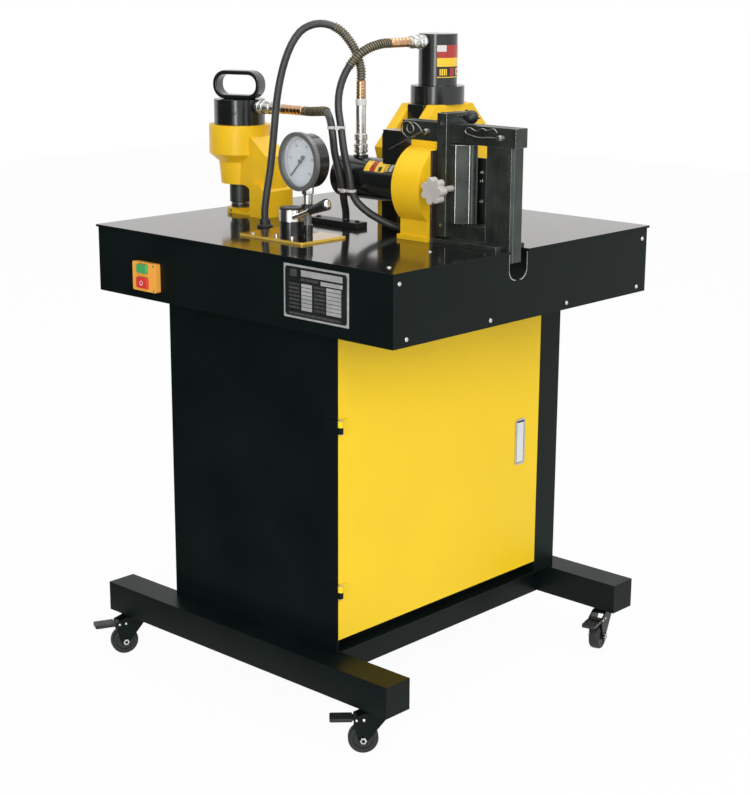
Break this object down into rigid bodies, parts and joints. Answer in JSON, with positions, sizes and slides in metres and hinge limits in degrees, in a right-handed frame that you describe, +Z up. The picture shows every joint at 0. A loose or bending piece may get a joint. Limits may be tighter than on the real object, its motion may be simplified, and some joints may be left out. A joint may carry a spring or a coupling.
{
  "type": "busbar processing machine",
  "caption": "Table-mounted hydraulic punch, bender and cutter for copper busbar on a wheeled steel cabinet with a door, hoses, valve, gauge and switch panel.",
  "frame": {"origin": "on the floor under the middle of the table", "axes": "+Z up, -Y out of the switch panel, +X out of the cabinet door"},
  "size_m": [0.706, 0.7774, 1.1503],
  "materials": {
    "black_paint": "glossy black powder coat",
    "cabinet_black": "satin black powder coat",
    "yellow_paint": "satin yellow enamel",
    "door_yellow": "satin yellow powder coat",
    "blackened_steel": "oiled black oxide on machined steel",
    "bright_steel": "ground and zinc plated",
    "silver_cast": "cast and tumbled",
    "black_plastic": "moulded",
    "orange_plastic": "moulded",
    "green_plastic": "moulded",
    "red_plastic": "moulded",
    "hose_rubber": "smooth extruded",
    "wheel_rubber": "moulded",
    "clear_glass": "clear",
    "plate_face": "printed plate with bare border",
    "pale_brass": "worn plated plate",
    "motor_grey": "painted casting"
  },
  "bodies": {
    "stand": {"base_frame": "cabinet_black", "cabinet_shell": "cabinet_black", "door_frame": "cabinet_black", "table_skirt": "cabinet_black", "table_top": "black_paint", "screws": "bright_steel", "nameplate": "plate_face", "switch_box": "orange_plastic", "hinge_pins": "bright_steel", "valve_plate": "pale_brass", "valve_body": "black_paint", "gauge_case": "bright_steel", "gauge_glass": "clear_glass", "punch_frame": "yellow_paint", "punch_cylinder": "black_paint", "punch_ring": "black_paint", "punch_die": "blackened_steel", "bender_body": "yellow_paint", "bender_cylinder": "black_paint", "bender_die": "blackened_steel", "bender_top_bar": "blackened_steel", "bender_base": "blackened_steel", "bender_pins": "bright_steel", "cutter_plate_1": "yellow_paint", "cutter_plate_2": "yellow_paint", "cutter_blocks": "black_paint", "cutter_cylinder": "black_paint", "hose_bender": "hose_rubber", "hose_cutter": "hose_rubber", "hose_punch": "hose_rubber", "hose_fittings": "bright_steel", "oil_tank": "black_paint", "motor": "motor_grey"},
    "door": {"door": "door_yellow", "latch_tray": "bright_steel"},
    "latch": {"latch_paddle": "bright_steel"},
    "start": {"start_button": "green_plastic"},
    "stop": {"stop_button": "red_plastic"},
    "lever": {"valve_lever": "bright_steel", "lever_grip": "black_plastic"},
    "needle": {"gauge_needle": "black_plastic"},
    "punch": {"punch_ram": "blackened_steel"},
    "bender": {"bender_ram": "bright_steel", "bender_slide": "blackened_steel", "bender_mandrel": "blackened_steel", "bender_stop": "black_plastic"},
    "knob": {"bender_knob": "silver_cast"},
    "cutter": {"cutter_ram": "blackened_steel"},
    "fork_1": {"caster_fork_1": "cabinet_black"},
    "wheel_1": {"caster_wheel_1": "wheel_rubber"},
    "pedal_1": {"caster_pedal_1": "black_plastic"},
    "fork_2": {"caster_fork_2": "cabinet_black"},
    "wheel_2": {"caster_wheel_2": "wheel_rubber"},
    "pedal_2": {"caster_pedal_2": "black_plastic"},
    "fork_3": {"caster_fork_3": "cabinet_black"},
    "wheel_3": {"caster_wheel_3": "wheel_rubber"},
    "pedal_3": {"caster_pedal_3": "black_plastic"},
    "fork_4": {"caster_fork_4": "cabinet_black"},
    "wheel_4": {"caster_wheel_4": "wheel_rubber"},
    "pedal_4": {"caster_pedal_4": "black_plastic"}
  },
  "joints": [
    {"name": "door_hinge", "type": "hinge", "parent": "stand", "child": "door", "pos_m": [0.201, -0.2925, 0.4], "axis": [0, 0, -1], "range_deg": [0, 110]},
    {"name": "latch_pull", "type": "hinge", "parent": "door", "child": "latch", "pos_m": [0.194, 0.1825, 0.434], "axis": [0, -1, 0], "range_deg": [0, 45], "stiffness_Nm_per_rad": 0.1},
    {"name": "start_press", "type": "slide", "parent": "stand", "child": "start", "axis": [0, 1, 0], "range_m": [0, 0.003], "stiffness_N_per_m": 300},
    {"name": "stop_press", "type": "slide", "parent": "stand", "child": "stop", "axis": [0, 1, 0], "range_m": [0, 0.003], "stiffness_N_per_m": 300},
    {"name": "valve_turn", "type": "hinge", "parent": "stand", "child": "lever", "pos_m": [0.009, -0.21, 0.84], "axis": [0, 0, 1], "range_deg": [-90, 0]},
    {"name": "gauge_sweep", "type": "hinge", "parent": "stand", "child": "needle", "pos_m": [0.044, -0.207, 0.9295], "axis": [0.0698, 0.9976, 0], "range_deg": [0, 270]},
    {"name": "punch_stroke", "type": "slide", "parent": "stand", "child": "punch", "axis": [0, 0, 1], "range_m": [0, 0.03]},
    {"name": "bender_stroke", "type": "slide", "parent": "stand", "child": "bender", "axis": [1, 0, 0], "range_m": [0, 0.03]},
    {"name": "knob_turn", "type": "hinge", "parent": "bender", "child": "knob", "pos_m": [0.2255, -0.1, 0.887], "axis": [0, 1, 0], "continuous": true},
    {"name": "cutter_stroke", "type": "slide", "parent": "stand", "child": "cutter", "axis": [0, 0, -1], "range_m": [0, 0.055]},
    {"name": "swivel_1", "type": "hinge", "parent": "stand", "child": "fork_1", "pos_m": [-0.305, -0.312, 0.07], "axis": [0, 0, 1], "continuous": true},
    {"name": "axle_1", "type": "hinge", "parent": "fork_1", "child": "wheel_1", "pos_m": [-0.31556, -0.33466, 0.025], "axis": [0.9063, -0.4226, 0], "continuous": true},
    {"name": "brake_1", "type": "hinge", "parent": "fork_1", "child": "pedal_1", "pos_m": [-0.32021, -0.34463, 0.06], "axis": [0.9063, -0.4226, 0], "range_deg": [0, 12]},
    {"name": "swivel_2", "type": "hinge", "parent": "stand", "child": "fork_2", "pos_m": [0.305, -0.312, 0.07], "axis": [0, 0, 1], "continuous": true},
    {"name": "axle_2", "type": "hinge", "parent": "fork_2", "child": "wheel_2", "pos_m": [0.28732, -0.32968, 0.025], "axis": [0.7071, -0.7071, 0], "continuous": true},
    {"name": "brake_2", "type": "hinge", "parent": "fork_2", "child": "pedal_2", "pos_m": [0.27954, -0.33746, 0.06], "axis": [0.7071, -0.7071, 0], "range_deg": [0, 12]},
    {"name": "swivel_3", "type": "hinge", "parent": "stand", "child": "fork_3", "pos_m": [0.305, 0.312, 0.07], "axis": [0, 0, 1], "continuous": true},
    {"name": "axle_3", "type": "hinge", "parent": "fork_3", "child": "wheel_3", "pos_m": [0.31147, 0.28785, 0.025], "axis": [0.9659, 0.2588, 0], "continuous": true},
    {"name": "brake_3", "type": "hinge", "parent": "fork_3", "child": "pedal_3", "pos_m": [0.31432, 0.27723, 0.06], "axis": [0.9659, 0.2588, 0], "range_deg": [0, 12]},
    {"name": "swivel_4", "type": "hinge", "parent": "stand", "child": "fork_4", "pos_m": [-0.305, 0.312, 0.07], "axis": [0, 0, 1], "continuous": true},
    {"name": "axle_4", "type": "hinge", "parent": "fork_4", "child": "wheel_4", "pos_m": [-0.31556, 0.33466, 0.025], "axis": [-0.9063, -0.4226, 0], "continuous": true},
    {"name": "brake_4", "type": "hinge", "parent": "fork_4", "child": "pedal_4", "pos_m": [-0.32021, 0.34463, 0.06], "axis": [-0.9063, -0.4226, 0], "range_deg": [0, 12]}
  ]
}
